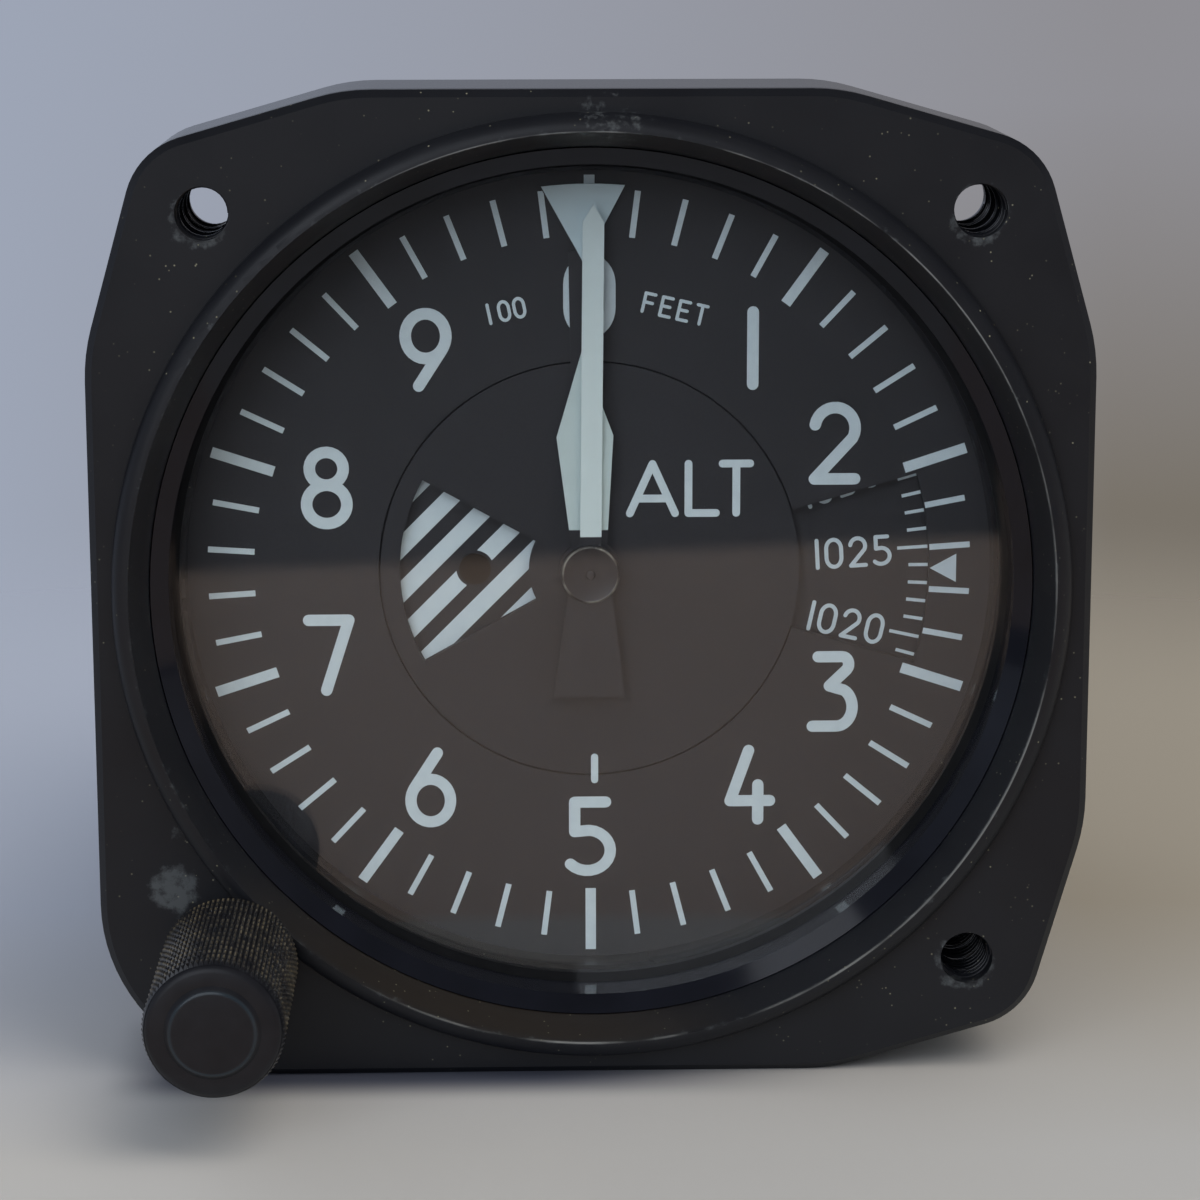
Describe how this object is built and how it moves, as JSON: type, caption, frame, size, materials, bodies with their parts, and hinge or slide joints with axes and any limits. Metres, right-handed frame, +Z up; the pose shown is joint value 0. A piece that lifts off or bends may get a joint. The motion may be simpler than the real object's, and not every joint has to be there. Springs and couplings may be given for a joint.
{
  "type": "aircraft altimeter",
  "caption": "Panel altimeter with three pointers over a numbered dial, a pressure setting knob and window, and an aneroid movement in a round case.",
  "frame": {"origin": "on the dial's axis, in the plane of the mounting flange's front face", "axes": "-Y out of the dial towards the viewer, +Z up the dial to its zero, +X to the viewer's right"},
  "size_m": [0.0826, 0.113, 0.0826],
  "materials": {
    "black_housing": "satin black anodised, worn at the edges",
    "dial_black": "matt black",
    "mark_white": "matt bluish white",
    "pointer_paint": "matt white with black roots",
    "clear_glass": "clear",
    "black_rubber": "matt",
    "movement_brass": "fine brushed",
    "capsule_bronze": "satin",
    "steel": "fine turned",
    "port_alloy": "satin"
  },
  "bodies": {
    "case": {"front_housing": "black_housing", "lens_ring": "black_housing", "lens_glass": "clear_glass", "lens_seal": "black_rubber", "dial_plate": "dial_black", "dial_marks": "mark_white", "centre_plate": "dial_black", "dial_spacer": "black_housing", "gear_cover": "black_housing", "gear_cover_screws": "steel", "knob_bush": "movement_brass", "knob_seal": "black_rubber", "front_plate": "movement_brass", "movement_ring": "steel", "front_pillars": "steel", "middle_plate": "movement_brass", "middle_pillars": "steel", "bridge_plate": "movement_brass", "cock_pillars": "steel", "rocker_cock": "movement_brass", "capsule_stack": "capsule_bronze", "capsule_bracket": "movement_brass", "case_can": "black_housing", "case_screws": "steel", "rear_cover": "black_housing", "rear_seal": "black_rubber", "rear_screws": "steel", "static_port": "port_alloy"},
    "knob": {"setting_knob": "black_housing", "knob_shaft": "steel", "knob_screw": "steel"},
    "idler": {"baro_idler": "movement_brass"},
    "pressure_scale": {"baro_scale": "dial_black", "baro_marks": "mark_white"},
    "long_pointer": {"pointer_100": "pointer_paint", "hub_cap": "dial_black", "pointer_staff": "steel"},
    "short_pointer": {"pointer_1000": "pointer_paint", "sleeve_1000": "movement_brass", "wheel_1000": "movement_brass"},
    "marker_pointer": {"pointer_10000": "pointer_paint", "sleeve_10000": "movement_brass", "wheel_10000": "movement_brass", "flag_disc": "dial_black", "flag_stripes": "mark_white", "flag_rivet": "dial_black"},
    "first_arbor": {"arbor_1": "steel", "arbor_1_wheel": "movement_brass"},
    "second_arbor": {"arbor_2": "steel", "arbor_2_wheel": "movement_brass"},
    "intermediate": {"intermediate_arbor": "steel", "intermediate_wheel": "movement_brass"},
    "rocker": {"rocking_shaft": "steel", "sector_gear": "movement_brass", "balance_weight": "movement_brass", "rocker_arm": "steel"},
    "link": {"capsule_link": "steel"}
  },
  "joints": [
    {"name": "long_pointer_turn", "type": "hinge", "parent": "case", "child": "long_pointer", "pos_m": [0, 0, 0], "axis": [0, 1, 0], "range_deg": [-360, 14400]},
    {"name": "short_pointer_turn", "type": "hinge", "parent": "case", "child": "short_pointer", "pos_m": [0, 0, 0], "axis": [0, 1, 0], "range_deg": [-36.2, 1440.5]},
    {"name": "marker_pointer_turn", "type": "hinge", "parent": "case", "child": "marker_pointer", "pos_m": [0, 0, 0], "axis": [0, 1, 0], "range_deg": [-3.7, 144.2]},
    {"name": "first_arbor_turn", "type": "hinge", "parent": "case", "child": "first_arbor", "pos_m": [0.00525, 0.02, 0.00909], "axis": [0, 1, 0], "range_deg": [-3601, 91]},
    {"name": "second_arbor_turn", "type": "hinge", "parent": "case", "child": "second_arbor", "pos_m": [-0.00525, 0.02, -0.00909], "axis": [0, 1, 0], "range_deg": [-360.5, 9.2]},
    {"name": "intermediate_turn", "type": "hinge", "parent": "case", "child": "intermediate", "pos_m": [-0.01623, 0.025, -0.00295], "axis": [0, 1, 0], "range_deg": [-1440.5, 36.2]},
    {"name": "rocker_turn", "type": "hinge", "parent": "case", "child": "rocker", "pos_m": [0.0152, 0.03, -0.005], "axis": [0, 1, 0], "range_deg": [-1.82, 72.1]},
    {"name": "link_turn", "type": "hinge", "parent": "rocker", "child": "link", "pos_m": [0.01232, 0.052, -0.00091], "axis": [0, 1, 0], "range_deg": [-72.1, 1.82], "deforming": ["capsule_stack"]},
    {"name": "pressure_scale_turn", "type": "hinge", "parent": "case", "child": "pressure_scale", "pos_m": [0, 0, 0], "axis": [0, 1, 0], "range_deg": [-233.1, 81.9]},
    {"name": "idler_turn", "type": "hinge", "parent": "case", "child": "idler", "pos_m": [-0.02461, 0.0128, -0.02461], "axis": [0, 1, 0], "range_deg": [-512, 1457]},
    {"name": "knob_turn", "type": "hinge", "parent": "case", "child": "knob", "pos_m": [-0.03026, 0, -0.03026], "axis": [0, 1, 0], "range_deg": [-2186, 768]}
  ],
  "couplings": [
    {"joint": "short_pointer_turn", "follows": "long_pointer_turn", "ratio": 0.1},
    {"joint": "marker_pointer_turn", "follows": "long_pointer_turn", "ratio": 0.01},
    {"joint": "first_arbor_turn", "follows": "long_pointer_turn", "ratio": -0.25},
    {"joint": "second_arbor_turn", "follows": "long_pointer_turn", "ratio": -0.025},
    {"joint": "intermediate_turn", "follows": "long_pointer_turn", "ratio": -0.1},
    {"joint": "rocker_turn", "follows": "long_pointer_turn", "ratio": 0.005},
    {"joint": "link_turn", "follows": "long_pointer_turn", "ratio": -0.005},
    {"joint": "idler_turn", "follows": "pressure_scale_turn", "ratio": -6.25},
    {"joint": "knob_turn", "follows": "pressure_scale_turn", "ratio": 9.375}
  ]
}
